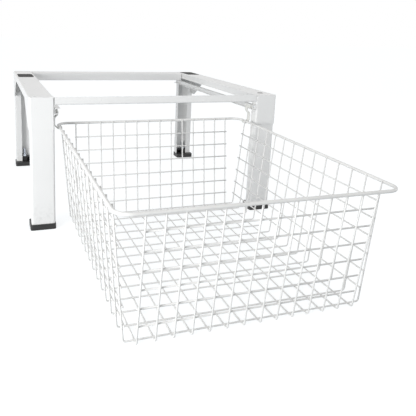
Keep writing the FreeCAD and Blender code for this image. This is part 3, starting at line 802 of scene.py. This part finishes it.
@dataclass
class Basket:
    """The pull-out wire basket: a rim, wires that run along and across it, level wires and their welds.

    It is worked out level and then tipped forwards about the shoes, as it hangs when it is drawn out.

    Attributes:
        rim_wire: Diameter of the rim's wire.
        mesh_wire: Diameter of the other wires.
        gap: Space between two wires where they cross.
        half_width: From the middle to the rim's wire at the sides.
        front: The rim's middle line at the front.
        back: The rim's middle line at the back.
        rim_height: The rim's middle line above the floor.
        rim_bend: Radius of the rim's corners.
        rim_steps: Pieces in each of their arcs.
        rim_sides: Points round the rim's wire.
        rim_bead_rise: How far the beads at the rim lie above its middle line.
        wire_bend: Radius of the other wires' bends.
        bend_steps: Pieces in each of their arcs.
        mesh_sides: Points round a mesh wire.
        front_lean: How far the front and back walls come in from rim to floor.
        side_lean: How far the side walls come in.
        floor: Height of the lowest wires' middle line.
        wires_top: Height at which the wires end at the rim.
        long_pitch: Distance between the wires that run along the basket.
        cross_pitch: Distance between the wires that run across it.
        level_pitch: Distance between the level wires.
        wires: Number of wires along, and across.
        levels: Number of level wires in a wall.
        overrun: How far a level wire runs past the last wire that it crosses.
        tip: How far the basket tips, in degrees.
        pivot: Where it tips, y and z.
        sharp: Turn in degrees past which an edge of a piece stays sharp.
    """

    rim_wire: float = 6.0
    mesh_wire: float = 3.0
    gap: float = 0.05
    half_width: float = 233.0
    front: float = -524.0
    back: float = 68.0
    rim_height: float = 229.0
    rim_bend: float = 25.0
    rim_steps: int = 14
    rim_sides: int = 24
    rim_bead_rise: float = 0.2
    wire_bend: float = 5.0
    bend_steps: int = 7
    mesh_sides: int = 14
    front_lean: float = 35.0
    side_lean: float = 24.0
    floor: float = 11.0
    wires_top: float = 230.5
    long_pitch: float = 29.3385
    cross_pitch: float = 38.9154
    level_pitch: float = 31.357
    wires: int = 14
    levels: int = 6
    overrun: float = 3.0
    tip: float = 1.0
    pivot: Pair = (30.0, 229.0)
    sharp: float = 50.0

    @property
    def inset(self) -> float:
        """From the rim's middle line to a wire's at the rim: both radii and the gap."""
        return (self.rim_wire + self.mesh_wire) / 2.0 + self.gap

    @property
    def centre(self) -> np.ndarray:
        """The rim's middle, at floor level."""
        return np.array([0.0, (self.front + self.back) / 2.0, 0.0])

    @property
    def cross_floor(self) -> float:
        """Height of the cross wires' middle line on the floor, which lie on the long wires."""
        return self.floor + self.mesh_wire + self.gap

    @property
    def level_heights(self) -> np.ndarray:
        """Heights of the level wires, a pitch apart down from the rim."""
        return self.rim_height - np.arange(1, self.levels + 1) * self.level_pitch

    def figures(self, wall: Wall) -> tuple[float, float, float, float]:
        """A wall's reach from the rim's middle, its lean, its lowest wires' height and its wires' pitch."""
        if wall in (Wall.FRONT, Wall.BACK):
            return (self.back - self.front) / 2.0, self.front_lean, self.floor, self.long_pitch
        return self.half_width, self.side_lean, self.cross_floor, self.cross_pitch

    def directions(self, wall: Wall) -> tuple[np.ndarray, np.ndarray]:
        """The direction out through a wall, and the one along it."""
        x, y = wall.value
        return np.array([x, y, 0.0]), np.array([abs(y), abs(x), 0.0])

    def slope(self, wall: Wall) -> float:
        """How far a wall comes in for each millimetre down."""
        _, lean, bottom, _ = self.figures(wall)
        return (lean - self.inset) / (self.wires_top - bottom)

    def spread(self, pitch: float) -> np.ndarray:
        """Places of the wires either side of the middle, a pitch apart."""
        return (np.arange(self.wires) - (self.wires - 1) / 2.0) * pitch

    def tipped(self, points: np.ndarray) -> np.ndarray:
        """Turns points about the pivot: y' = y0 + y cos t - z sin t, z' = z0 + y sin t + z cos t."""
        turn = math.radians(self.tip)
        y = points[:, 1] - self.pivot[0]
        z = points[:, 2] - self.pivot[1]
        along = self.pivot[0] + y * math.cos(turn) - z * math.sin(turn)
        up = self.pivot[1] + y * math.sin(turn) + z * math.cos(turn)
        return np.stack([points[:, 0], along, up], axis=-1)

    def rim(self) -> Surface:
        """The rim's closed loop, a rectangle of the middle line with round corners."""
        across = self.half_width
        plan = [(-across, self.front), (across, self.front), (across, self.back), (-across, self.back)]
        corners = np.array([[x, y, self.rim_height] for x, y in plan])
        line = bent_line(corners, self.rim_bend, self.rim_steps, UP, True)
        return wire(line, self.rim_wire / 2.0, self.rim_sides, True)

    def hoops(self, wall: Wall) -> Surface:
        """The wires that go down a wall, along the floor and up the wall opposite.

        Each is a path of four corners: reach less inset at the top, reach less lean at the floor, and the
        same on the other side.
        """
        reach, lean, bottom, pitch = self.figures(wall)
        top = reach - self.inset
        foot = reach - lean
        out, sideways = self.directions(wall)
        run = np.array([-top, -foot, foot, top])[:, None] * np.abs(out)
        rise = np.array([self.wires_top, bottom, bottom, self.wires_top])[:, None] * UP
        made = []
        for place in self.spread(pitch):
            corners = self.centre + place * sideways + run + rise
            line = bent_line(corners, self.wire_bend, self.bend_steps, sideways, False)
            made.append(wire(line, self.mesh_wire / 2.0, self.mesh_sides, False))
        return joined(made)

    def hoop_inset(self, wall: Wall, heights: np.ndarray) -> np.ndarray:
        """How far in from the rim's line a wall's upright wires are at some heights."""
        return self.inset + (self.wires_top - heights) * self.slope(wall)

    def level_inset(self, wall: Wall) -> np.ndarray:
        """How far in the level wires are: the upright wires' inset and one wire and gap across the slope."""
        step = (self.mesh_wire + self.gap) * math.hypot(1.0, self.slope(wall))
        return self.hoop_inset(wall, self.level_heights) + step

    def level_wires(self, wall: Wall) -> Surface:
        """The straight level wires inside one wall."""
        reach, _, _, pitch = self.figures(wall)
        out, sideways = self.directions(wall)
        half = (self.wires - 1) / 2.0 * pitch + self.overrun
        made = []
        for height, inset in zip(self.level_heights, self.level_inset(wall)):
            place = self.centre + out * (reach - inset) + height * UP
            line = straight_line(place - sideways * half, place + sideways * half, UP)
            made.append(wire(line, self.mesh_wire / 2.0, self.mesh_sides, False))
        return joined(made)

    def wall_welds(self, wall: Wall) -> Surface:
        """Beads where a wall's level wires and the rim meet its upright wires."""
        reach, _, _, pitch = self.figures(wall)
        out, sideways = self.directions(wall)
        heights = np.append(self.level_heights, self.rim_height + self.rim_bead_rise)
        upright = self.hoop_inset(wall, heights)
        other = np.append(self.level_inset(wall), 0.0)
        shares = np.append(np.full(self.levels, 0.5), self.mesh_wire / (self.rim_wire + self.mesh_wire))
        inset, places = np.meshgrid(upright + (other - upright) * shares, self.spread(pitch))
        height = np.broadcast_to(heights, inset.shape)
        centres = (
            self.centre
            + out * (reach - inset)[..., None]
            + sideways * places[..., None]
            + UP * height[..., None]
        ).reshape(-1, 3)
        rising = unit(out * self.slope(wall) + UP)
        count = len(centres)
        return weld_beads(centres, np.tile(rising, (count, 1)), np.tile(sideways, (count, 1)))

    def floor_welds(self) -> Surface:
        """Beads where the cross wires lie on the long wires."""
        x, y = np.meshgrid(self.spread(self.long_pitch), self.centre[1] + self.spread(self.cross_pitch))
        z = np.full(x.size, (self.floor + self.cross_floor) / 2.0)
        centres = np.stack([x.ravel(), y.ravel(), z], axis=-1)
        count = len(centres)
        return weld_beads(centres, np.tile([1.0, 0.0, 0.0], (count, 1)), np.tile([0.0, 1.0, 0.0], (count, 1)))

    def build(self, dresser: Dresser) -> None:
        """Makes the basket's pieces in the places of its nodes."""
        shapes = {
            "rim": (self.rim(), ["basket_rim"]),
            "long_wires": (self.hoops(Wall.FRONT), ["basket_long_wires"]),
            "cross_wires": (self.hoops(Wall.LEFT), ["basket_cross_wires"]),
        }
        for wall in Wall:
            name = wall.name.lower()
            shapes[name + "_level_wires"] = (self.level_wires(wall), ["basket_%s_wires" % name])
        shapes["welds"] = (joined([self.wall_welds(wall) for wall in Wall] + [self.floor_welds()]), [])
        for name, (surface, nodes) in shapes.items():
            tipped = surface.mapped(self.tipped)
            dresser.add("round_basket_" + name, tipped, Slot.COATED_WIRE, self.sharp, "basket", nodes)


@dataclass
class Hangers:
    """The two nylon hangers that run in the runners and carry the basket's rim, each a slider and a hook.

    The slider lies in the channel. The hook comes out over the channel's lower flange, goes down close to
    the leg and cradles the rim from below. Places across are distances from the stand's middle.

    Attributes:
        hook_corners: Corners of the hook's middle line, across and up, before its bends.
        hook_bend: Radius of its bends: the rim's radius, the play and half the strip.
        bend_steps: Pieces in each bend's arc.
        hook_thick: The strip's thickness.
        hook_middle: The strip's middle along the stand.
        hook_wide: The strip's width, between the last cross wire and the rim's bend.
        slider_across: The slider's two sides.
        slider_up: Its underside and its top.
        slider_along: Its front and its back.
        soft_edge: Radius of the edges.
        sharp: Turn in degrees past which an edge of a piece stays sharp.
    """

    hook_corners: tuple[Pair, ...] = (
        (241.5, 267.6), (235.6, 267.6), (235.6, 257.2), (242.9, 249.9),
        (242.9, 232.6), (234.85, 224.55), (228.55, 224.55), (228.55, 230.4),
    )
    hook_bend: float = 4.45
    bend_steps: int = 8
    hook_thick: float = 2.4
    hook_middle: float = 35.0
    hook_wide: float = 13.0
    slider_across: Pair = (237.2, 244.05)
    slider_up: Pair = (263.85, 273.6)
    slider_along: Pair = (20.0, 42.0)
    soft_edge: float = 0.7
    sharp: float = 60.0

    def hook(self, side: int) -> Surface:
        """The bent strip on one side: its corners laid across the stand, with an arc in each."""
        corners = np.array([[side * across, self.hook_middle, up] for across, up in self.hook_corners])
        line = bent_line(corners, self.hook_bend, self.bend_steps, np.array([0.0, 1.0, 0.0]), False)
        return strip(line, self.hook_wide / 2.0, self.hook_thick / 2.0, self.soft_edge)

    def slider(self, side: int) -> Surface:
        """The block in the channel: a strip as thick as the slider is wide, laid along the runner."""
        inner, outer = self.slider_across
        low, high = self.slider_up
        across = side * (inner + outer) / 2.0
        up = (low + high) / 2.0
        start, end = (np.array([across, y, up]) for y in self.slider_along)
        return strip(straight_line(start, end, UP), (high - low) / 2.0, (outer - inner) / 2.0, self.soft_edge)

    def build(self, dresser: Dresser) -> None:
        """Makes a hanger on each side."""
        for name, side in (("left", -1), ("right", 1)):
            surface = joined([self.hook(side), self.slider(side)])
            node = "runner_shoe_" + name
            dresser.add("nylon_hanger_" + name, surface, Slot.NYLON, self.sharp, "shoes", [node])


@dataclass
class Levelling:
    """The four levelling screws with their nuts.

    Attributes:
        from_middle: A screw's axis from the stand's middle.
        from_face: A screw's axis from the front or back face.
        thread_radius: Outer radius of the thread.
        thread_depth: How deep the thread is cut.
        thread_stretch: How much steeper the thread's flanks are than a plain triangle's.
        thread_sunk: How far the stem reaches down into the pad.
        thread_rings: Rings of points in each pitch.
        thread_columns: Points in each ring.
        pitch: The thread's pitch.
        top: Height of the screw's top.
        top_chamfer: How much the radius is less at the top.
        pad_across: The hexagonal pad's width across flats.
        pad_heights: Heights of the pad's rings.
        pad_chamfer: How fast the cone at its faces widens.
        nut_across: A nut's width across flats.
        nut_span: Heights of its underside and its top.
        nut_rings: Distances from each face at which it has rings.
        nut_chamfer: How fast the cone at its faces widens.
        nut_bore: Radius of its bore.
        bore_chamfer: How far the bore is countersunk.
        face_inset: How far in from the flats a cone starts.
        hex_columns: Points in a ring of the pad or nut.
        sharp: Turn in degrees past which an edge of a piece stays sharp.
    """

    from_middle: float = 273.0
    from_face: float = 14.05
    thread_radius: float = 4.0
    thread_depth: float = 0.62
    thread_stretch: float = 1.4
    thread_sunk: float = 0.5
    thread_rings: int = 7
    thread_columns: int = 20
    pitch: float = 1.25
    top: float = 52.0
    top_chamfer: float = 1.1
    pad_across: float = 18.0
    pad_heights: tuple[float, ...] = (0.0, 0.35, 0.8, 2.2, 3.6, 4.1, 4.5)
    pad_chamfer: float = 1.9
    nut_across: float = 13.0
    nut_span: Pair = (26.0, 32.5)
    nut_rings: Pair = (0.3, 0.7)
    nut_chamfer: float = 2.0
    nut_bore: float = 4.08
    bore_chamfer: float = 0.45
    face_inset: float = 0.1
    hex_columns: int = 60
    sharp: float = 32.0

    def thread(self) -> Surface:
        """The threaded stem.

        Its radius at height z and angle a is thread_radius - thread_depth w, where w goes from 0 to 1 and
        back, as a triangle cut off at both tips, once for each pitch of z less a share a / 2 pi of a pitch.
        Towards the top the stem narrows to a chamfer.
        """
        low = self.pad_heights[-1] - self.thread_sunk
        rows = int((self.top - low) / self.pitch * self.thread_rings)
        height = np.linspace(low, self.top, rows)[:, None]
        share = np.arange(self.thread_columns)[None, :] / self.thread_columns
        triangle = 1.0 - np.abs(2.0 * np.mod(height / self.pitch - share, 1.0) - 1.0)
        cut = np.clip(triangle * self.thread_stretch - (self.thread_stretch - 1.0) / 2.0, 0.0, 1.0)
        radius = self.thread_radius - self.thread_depth * cut
        radius = np.minimum(radius, self.thread_radius - self.top_chamfer + (self.top - height))
        return revolved(radius, np.broadcast_to(height, radius.shape))

    def hexagonal(self, across: float, height: np.ndarray, chamfer: float) -> np.ndarray:
        """Radii of a hexagonal body, cut back at each face by a cone that rounds the corners.

        At height h the radius is the less of the hexagon's and across / 2 - face_inset + chamfer e, with e
        the distance to the nearer face. A hexagon's radius is across / 2 / cos(angle from the nearest flat).

        Args:
            across: Width across flats.
            height: Heights of the rings.
            chamfer: How fast the cone widens.

        Returns:
            The grid of radii.
        """
        angle = FULL_TURN * np.arange(self.hex_columns) / self.hex_columns
        flat = across / 2.0 / np.cos(np.mod(angle, math.pi / 3.0) - math.pi / 6.0)
        edge = np.minimum(height, height[-1] - height)[:, None]
        return np.minimum(flat, across / 2.0 - self.face_inset + edge * chamfer)

    def pad(self) -> Surface:
        """The hexagonal pad that the screw stands on."""
        height = np.array(self.pad_heights)
        radius = self.hexagonal(self.pad_across, height, self.pad_chamfer)
        return revolved(radius, np.broadcast_to(height[:, None], radius.shape))

    def nut(self) -> Surface:
        """A hexagonal nut with both faces chamfered and a countersunk bore."""
        low, high = self.nut_span
        tall = high - low
        near, far = self.nut_rings
        height = np.array([0.0, near, far, tall / 2.0, tall - far, tall - near, tall])
        outer = self.hexagonal(self.nut_across, height, self.nut_chamfer)
        sink = self.bore_chamfer
        bore = np.array([sink, 0.0, 0.0, sink])[:, None] + self.nut_bore + np.zeros((1, self.hex_columns))
        radius = np.concatenate([outer, bore])
        heights = np.concatenate([height, [tall, tall - sink, sink, 0.0]])[:, None] + low
        return revolved(radius, np.broadcast_to(heights, radius.shape), hollow=True)

    def at_corner(self, surface: Surface, corner: Corner) -> Surface:
        """A surface about the upright axis moved to a corner."""
        place = np.array([corner.side * self.from_middle, corner.inward(self.from_face), 0.0])
        return surface.mapped(lambda points: points + place)

    def build(self, dresser: Dresser) -> None:
        """Makes a screw and a nut at each corner."""
        screw = joined([self.pad(), self.thread()])
        nut = self.nut()
        for corner in Corner:
            label = corner.label
            node = "levelling_screw_" + label
            placed = self.at_corner(screw, corner)
            dresser.add("threaded_screw_" + label, placed, Slot.ZINC, self.sharp, node, [node])
            placed = self.at_corner(nut, corner)
            node = "levelling_nut_" + label
            dresser.add("hex_nut_" + label, placed, Slot.ZINC, self.sharp, "stand", [node])


@dataclass
class Fasteners:
    """A bolt for the bars and a rivet for the runner at each corner, both laid along x.

    Attributes:
        bolt_place: The bolt's distance from the end of the stand, and its height.
        rivet_place: The same for the rivet.
        bolt_faces: Distance from the middle to the head's outer face, the head's inner face and the end.
        rivet_faces: The same for a rivet.
        bolt_top: How far a bolt's head is domed, and how deep its cross recess is.
        rivet_top: The same for a rivet, which has no recess.
        head_radius: Radius of the heads.
        head_rings: Shares of that radius at which the head's top has rings.
        head_edge: The chamfer at the head's lower edge.
        rim_height: How far the head's side ends below the foot of its dome.
        shank_radius: Radius of the shanks.
        shank_chamfer: The chamfer at a shank's end.
        arm: Half the width of a recess's arm, and over how much its flank slopes.
        arm_reach: How far out an arm goes as a share of the head, and over how much its end slopes.
        columns: Points in a ring.
        sharp: Turn in degrees past which an edge of a piece stays sharp.
    """

    bolt_place: Pair = (12.1, 291.25)
    rivet_place: Pair = (13.5, 268.75)
    bolt_faces: tuple[float, float, float] = (251.7, 249.1, 242.0)
    rivet_faces: tuple[float, float, float] = (250.1, 247.5, 244.4)
    bolt_top: Pair = (0.75, 1.1)
    rivet_top: Pair = (1.1, 0.0)
    head_radius: float = 4.5
    head_rings: tuple[float, ...] = (1.0, 0.94, 0.82, 0.68, 0.55, 0.5, 0.42, 0.3, 0.16, 0.08)
    head_edge: float = 0.25
    rim_height: float = 0.2
    shank_radius: float = 2.5
    shank_chamfer: float = 0.3
    arm: Pair = (0.95, 0.3)
    arm_reach: Pair = (0.52, 0.06)
    columns: int = 40
    sharp: float = 40.0

    def pin(self, faces: tuple[float, float, float], top: Pair) -> Surface:
        """A round head on a shank, worked out about an upright axis.

        At a share s of its radius the head's top is dome s s below its middle. Where the less of |x| and |y|
        is under half an arm's width, and s under the arm's reach, it is deeper by the recess.

        Args:
            faces: Distances from the middle: the head's top, its underside and the shank's end.
            top: How far the head is domed, and the depth of its recess.

        Returns:
            The pin with the head's top at height 0, pointing down along the axis.
        """
        dome, recess = top
        tall = faces[0] - faces[1]
        length = faces[0] - faces[2]
        angle = FULL_TURN * np.arange(self.columns) / self.columns
        share = np.array(self.head_rings)[:, None]
        ring = self.head_radius * share
        off_arm = np.minimum(np.abs(ring * np.cos(angle)), np.abs(ring * np.sin(angle)))
        across = np.clip((self.arm[0] - off_arm) / self.arm[1], 0.0, 1.0)
        inside = across * np.clip((self.arm_reach[0] - share) / self.arm_reach[1], 0.0, 1.0)
        outline = np.array([
            [self.shank_radius - self.shank_chamfer, -length],
            [self.shank_radius, -length + self.shank_chamfer],
            [self.shank_radius, -tall],
            [self.head_radius - self.head_edge, -tall],
            [self.head_radius, -tall + self.head_edge],
            [self.head_radius, -dome - self.rim_height],
        ])
        whole = np.ones((1, self.columns))
        radius = np.concatenate([outline[:, :1], ring]) * whole
        height = np.concatenate([outline[:, 1:] * whole, -dome * share * share - recess * inside])
        return revolved(radius, height)

    def laid(self, pin: Surface, place: Pair, top: float, corner: Corner) -> Surface:
        """A pin laid along x at a corner, its head away from the stand's middle.

        Its height h becomes x = side (top + h), its x becomes y, against the side, and its y goes down from
        the place's z. That turns the pin without mirroring it, so its faces keep pointing outwards.
        """
        x, y, h = pin.vertices.T
        turned = [corner.side * (top + h), corner.inward(place[0]) - corner.side * x, place[1] - y]
        return Surface(np.stack(turned, axis=-1), pin.quads, pin.triangles)

    def build(self, dresser: Dresser) -> None:
        """Makes the pins of each corner as one piece."""
        bolt = self.pin(self.bolt_faces, self.bolt_top)
        rivet = self.pin(self.rivet_faces, self.rivet_top)
        for corner in Corner:
            both = joined([
                self.laid(bolt, self.bolt_place, self.bolt_faces[0], corner),
                self.laid(rivet, self.rivet_place, self.rivet_faces[0], corner),
            ])
            node = "corner_bolts_" + corner.label
            dresser.add("round_bolts_" + corner.label, both, Slot.ZINC, self.sharp, "stand", [node])


@dataclass
class FrameNodes:
    """The nodes that keep their own shape: sheet steel, caps and rubber.

    Attributes:
        kept: For each slot, how its nodes' names start and by how many millimetres edges are rounded.
        merge: Distance in metres under which a node's loose corners are merged.
        flat: Turn in degrees under which neighbouring triangles count as one flat face.
        sharp: Turn in degrees from which an edge is rounded.
    """

    kept: dict[Slot, tuple[tuple[str, ...], float]] = field(default_factory=lambda: {
        Slot.POWDER_COAT: (
            ("side_rail", "front_bar", "rear_bar", "runner_left", "runner_right", "leg_"), 0.35
        ),
        Slot.PLASTIC: (("foot_cap",), 0.6),
        Slot.RUBBER: (("rubber_pad", "rail_plug"), 0.3),
    })
    merge: float = 0.00001
    flat: float = 0.5
    sharp: float = 38.0

    def soften(self, node: bpy.types.Object, width: float) -> None:
        """Rounds a node's edges with modifiers.

        They merge its loose triangles, join flat ones, round what turns sharply and even out the shading.

        Args:
            node: The node's object.
            width: How far the edges are rounded, in millimetres.
        """
        mesh = node.data
        mesh.polygons.foreach_set("use_smooth", np.ones(len(mesh.polygons), dtype=bool))
        steps = (
            ("merge", "WELD", {"merge_threshold": self.merge}),
            ("flat", "DECIMATE", {"decimate_type": "DISSOLVE", "angle_limit": math.radians(self.flat)}),
            ("edge", "BEVEL", {
                "width": width / 1000.0, "segments": 2, "limit_method": "ANGLE",
                "angle_limit": math.radians(self.sharp), "use_clamp_overlap": True,
            }),
            ("shade", "WEIGHTED_NORMAL", {"keep_sharp": False, "weight": 80}),
        )
        for name, kind, settings in steps:
            modifier = node.modifiers.new(name, kind)
            for key, value in settings.items():
                setattr(modifier, key, value)

    def build(self, nodes: dict[str, bpy.types.Object], materials: dict[Slot, bpy.types.Material]) -> None:
        """Gives every kept node its finish and its soft edges."""
        for slot, (starts, width) in self.kept.items():
            for name, node in nodes.items():
                if name.startswith(starts):
                    for number in range(len(node.material_slots)):
                        node.material_slots[number].material = materials[slot]
                    self.soften(node, width)
                    log.info("%s keeps its node, finish %s", name, slot.value)


# Camera and studio


@dataclass
class PhotoCamera:
    """The camera at the photograph's viewing angle.

    Attributes:
        place: Its place, x and y from the stand's left front corner and z up, in millimetres.
        yaw: Its turn from straight back towards the right, in degrees.
        pitch: How far it looks down.
        roll: Its turn about its own line of sight.
        focal: The focal length in the photograph's pixels.
        frame: The photograph's width in pixels.
        shift: How far the picture is shifted, in shares of the width.
        sensor: The sensor's width in millimetres.
        clip: The nearest and the farthest that it sees, in metres.
    """

    place: Place = (-85.34, -1158.96, 465.04)
    yaw: float = 20.717
    pitch: float = 11.609
    roll: float = 2.222
    focal: float = 530.60
    frame: float = 416.0
    shift: Pair = (0.06, -0.18)
    sensor: float = 36.0
    clip: Pair = (0.05, 100.0)

    def build(self) -> None:
        """Makes the camera and sets it as the scene's."""
        yaw, pitch, roll = (math.radians(a) for a in (self.yaw, self.pitch, self.roll))
        forward = Vector((math.sin(yaw) * math.cos(pitch), math.cos(yaw) * math.cos(pitch), -math.sin(pitch)))
        level = Vector((math.cos(yaw), -math.sin(yaw), 0.0))
        above = level.cross(forward)
        right = level * math.cos(roll) + above * math.sin(roll)
        up = above * math.cos(roll) - level * math.sin(roll)
        lens = bpy.data.cameras.new("photo_camera")
        lens.sensor_width = self.sensor
        lens.lens = self.focal / self.frame * self.sensor
        lens.shift_x, lens.shift_y = self.shift
        lens.clip_start, lens.clip_end = self.clip
        camera = bpy.data.objects.new("photo_camera", lens)
        turn = Matrix((right, up, -forward)).transposed()
        x, y, z = self.place
        place = ((x - STAND_WIDTH / 2.0) / 1000.0, (y - ORIGIN_Y) / 1000.0, z / 1000.0)
        camera.matrix_world = Matrix.Translation(place) @ turn.to_4x4()
        bpy.context.scene.collection.objects.link(camera)
        bpy.context.scene.camera = camera


@dataclass(frozen=True)
class Lamp:
    """A soft square lamp.

    Attributes:
        name: Its name.
        place: Where it stands, in metres in the part's frame.
        aim: What it points at.
        size: Its side in metres.
        power: Its power in watts.
    """

    name: str
    place: Place
    aim: Place
    size: float
    power: float

    def build(self) -> None:
        """Makes the lamp."""
        data = bpy.data.lights.new(self.name, "AREA")
        data.shape = "SQUARE"
        data.size = self.size
        data.energy = self.power
        lamp = bpy.data.objects.new(self.name, data)
        lamp.location = self.place
        lamp.rotation_euler = (Vector(self.aim) - Vector(self.place)).to_track_quat("-Z", "Y").to_euler()
        bpy.context.scene.collection.objects.link(lamp)


@dataclass
class Studio:
    """A plain white floor, a pale world and two soft lamps.

    Attributes:
        floor_half: Half the floor's side in metres.
        floor_level: The floor's height in metres, just under the feet.
        floor_colour: The floor's colour.
        glow: Light that the floor adds for the camera and reflections, so that it reads as white.
        world_level: Strength of the world's light.
        lamps: The lamps.
    """

    floor_half: float = 12.0
    floor_level: float = -0.0003
    floor_colour: Colour = (0.42, 0.45, 0.47)
    glow: float = 0.73
    world_level: float = 0.63
    lamps: tuple[Lamp, ...] = (
        Lamp("front_left_softbox", (-1.6, -1.2, 0.45), (-0.1, 0.0, 0.15), 0.8, 26.0),
        Lamp("right_fill", (2.3, -0.6, 0.5), (0.0, 0.1, 0.15), 1.4, 9.0),
    )

    def seen(self, graph: Graph) -> Socket:
        """1 for what the camera sees, straight, mirrored or through glass, and 0 for light on the object."""
        path = graph.add("ShaderNodeLightPath")
        direct = graph.math("MAXIMUM", path.outputs["Is Camera Ray"], path.outputs["Is Glossy Ray"])
        return graph.math("MAXIMUM", direct, path.outputs["Is Transmission Ray"])

    def floor(self) -> None:
        """Makes the floor, which keeps the stand's shadow and reads as white for camera and reflections."""
        half = self.floor_half
        plan = ((-half, -half), (half, -half), (half, half), (-half, half))
        corners = [(x, y, self.floor_level) for x, y in plan]
        mesh = bpy.data.meshes.new("studio_floor")
        mesh.from_pydata(corners, [], [(0, 1, 2, 3)])
        floor = bpy.data.objects.new("studio_floor", mesh)
        bpy.context.scene.collection.objects.link(floor)
        material = bpy.data.materials.new("studio_floor_look")
        material.use_nodes = True
        graph = Graph(material.node_tree)
        graph.tree.nodes.clear()
        output = graph.add("ShaderNodeOutputMaterial")
        matt = graph.add("ShaderNodeBsdfDiffuse", {"Color": (*self.floor_colour, 1.0)})
        light = graph.add("ShaderNodeEmission", {"Color": (1.0, 1.0, 1.0, 1.0)})
        graph.join(graph.math("MULTIPLY", self.seen(graph), self.glow), light.inputs["Strength"])
        both = graph.add("ShaderNodeAddShader")
        graph.join(matt.outputs[0], both.inputs[0])
        graph.join(light.outputs[0], both.inputs[1])
        graph.join(both.outputs[0], output.inputs["Surface"])
        mesh.materials.append(material)

    def world(self) -> None:
        """Makes the world: white for camera and reflections, a plain level of light for the rest."""
        world = bpy.data.worlds.new("studio_world")
        bpy.context.scene.world = world
        world.use_nodes = True
        graph = Graph(world.node_tree)
        graph.tree.nodes.clear()
        output = graph.add("ShaderNodeOutputWorld")
        background = graph.add("ShaderNodeBackground", {"Color": (1.0, 1.0, 1.0, 1.0)})
        strength = graph.span(self.seen(graph), (0.0, 1.0), (self.world_level, 1.0))
        graph.join(strength, background.inputs["Strength"])
        graph.join(background.outputs[0], output.inputs["Surface"])

    def build(self) -> None:
        """Makes the floor, the world and the lamps."""
        self.floor()
        self.world()
        for lamp in self.lamps:
            lamp.build()
        bpy.context.scene.view_settings.view_transform = "Standard"


def main() -> None:
    """Builds the looks in order and reports each piece."""
    logging.basicConfig(level=logging.INFO, format="%(message)s")
    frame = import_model()
    PhotoCamera().build()
    materials = make_finishes()
    FrameNodes().build(frame["nodes"], materials)
    dresser = Dresser(materials)
    for assembly in (Basket(), Hangers(), Levelling(), Fasteners()):
        assembly.build(dresser)
    Studio().build()


if __name__ == "__main__":
    main()
